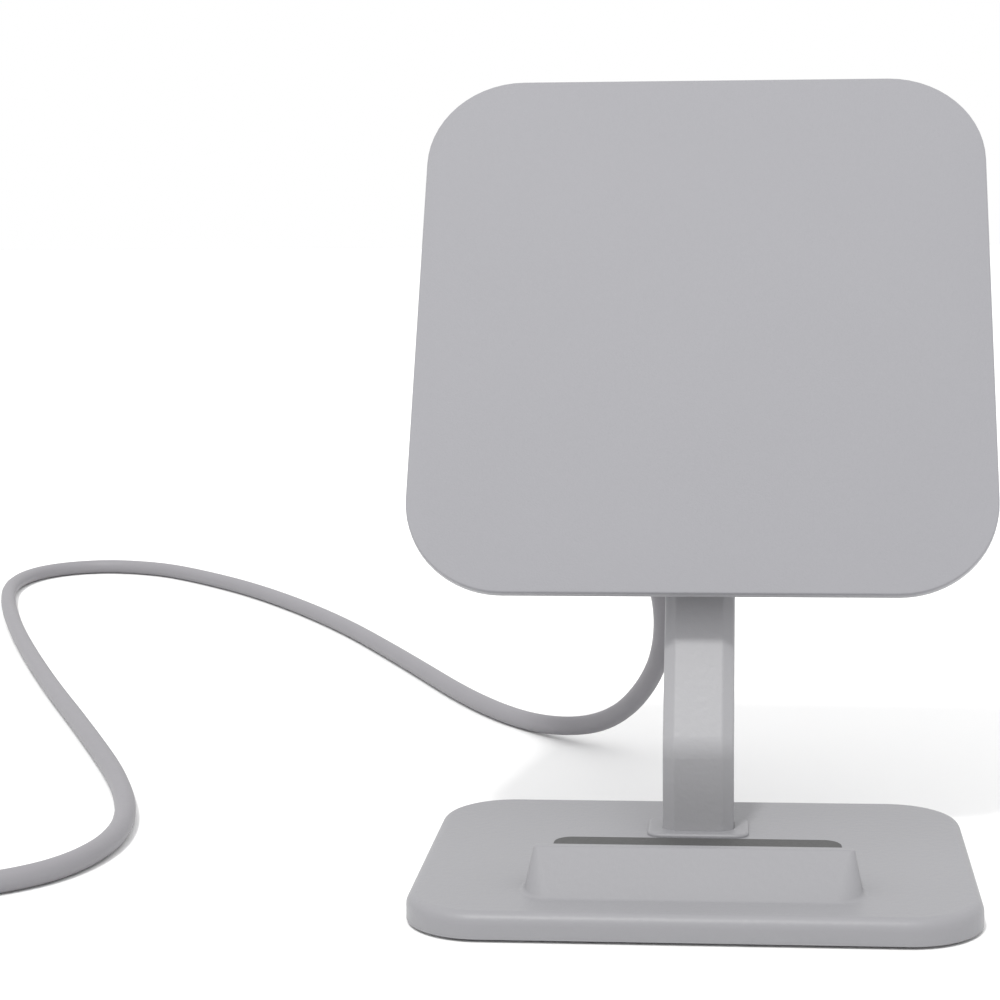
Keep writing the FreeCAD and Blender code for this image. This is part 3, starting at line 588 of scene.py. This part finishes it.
def metal(name, colour, rough, along=(1.0, 1.0, 1.0), depth=0.000008):
    """Bare metal with fine lines or an even grain, by how its pattern is stretched."""
    f = Finish(name)
    stretched = f.node("Mapping", {}, {"Vector": f.place, "Scale": along}, "Vector")
    lines = f.noise(scale=700.0, detail=4.0, rough=0.6, where=stretched)
    shade = f.blend(lines, tuple(c * 0.9 for c in colour) + (1.0,), tuple(colour) + (1.0,))
    return f.surface(base_color=shade, metallic=1.0, roughness=rough + 0.15 * lines,
                     normal=f.bump(lines, depth))


def circuit_lacquer():
    """Green lacquer of slightly uneven depth."""
    f = Finish("board")
    depth = f.noise(scale=500.0, detail=1.0)
    colour = f.blend(depth, (0.012, 0.09, 0.035, 1.0), (0.02, 0.14, 0.05, 1.0))
    return f.surface(base_color=colour, roughness=0.25 + 0.1 * depth,
                     normal=f.bump(depth, distance=0.00002))


FINISHES = {
    "soft_skin": soft_skin(),
    "shell_plastic": moulded("shell_plastic", 0.33, (0.99, 0.985, 1.04)),
    "inner_plastic": moulded("inner_plastic", 0.045, rough=0.5),
    "copper_winding": metal("copper_winding", (0.72, 0.33, 0.16), rough=0.25),
    "ferrite": moulded("ferrite", 0.03, rough=0.6),
    "shield_metal": metal("shield_metal", (0.8, 0.8, 0.82), rough=0.3, along=(1.0, 0.05, 1.0)),
    "board": circuit_lacquer(),
    "board_components": moulded("board_components", 0.02, rough=0.4),
    "slip_plastic": moulded("slip_plastic", 0.7, (1.0, 0.98, 0.94), rough=0.3),
    "screw_steel": metal("screw_steel", (0.56, 0.56, 0.58), rough=0.28),
    "arm_metal": powder_coat("arm_metal", 0.31, (0.99, 0.985, 1.03)),
    "base_paint": powder_coat("base_paint", 0.238, (0.985, 0.98, 1.035)),
    "rest_silicone": silicone(),
    "ballast_steel": metal("ballast_steel", (0.45, 0.45, 0.47), rough=0.4, along=(0.05, 1.0, 1.0)),
    "cord_jacket": jacket(),
    "plug_plastic": moulded("plug_plastic", 0.24, rough=0.45),
    "plug_nickel": metal("plug_nickel", (0.75, 0.74, 0.71), rough=0.18, along=(1.0, 0.08, 1.0),
                         depth=0.000003),
    "plug_tongue": moulded("plug_tongue", 0.75, rough=0.35),
    "contact_gold": metal("contact_gold", (0.86, 0.62, 0.26), rough=0.2),
}


def dress_nodes():
    """Each CAD node gets the finish of its own slot."""
    for part in frame["record"]["subparts"]:
        mesh = node[part["node"]].data
        mesh.materials.clear()
        mesh.materials.append(FINISHES[part["material_slot"]])


def dress(piece, slot):
    """Gives a modelled piece its finish."""
    piece.data.materials.clear()
    piece.data.materials.append(FINISHES[slot])


dress_nodes()
dress(cord, "cord_jacket")
dress(boot, "cord_jacket")
dress(relief, "cord_jacket")
dress(skin, "soft_skin")
# The liner's near-black silicone is partly painted shade behind the lip's crest.
dress(liner, "rest_silicone")
dress(sheet, "rest_silicone")


def floor_paint():
    """Pale matte paint for the floor."""
    f = Finish("floor_paint")
    shade = f.noise(scale=1.2)
    return f.surface(base_color=f.blend(shade, grey(0.88), grey(0.9)), roughness=0.6 + 0.05 * shade)


floor.data.materials.append(floor_paint())
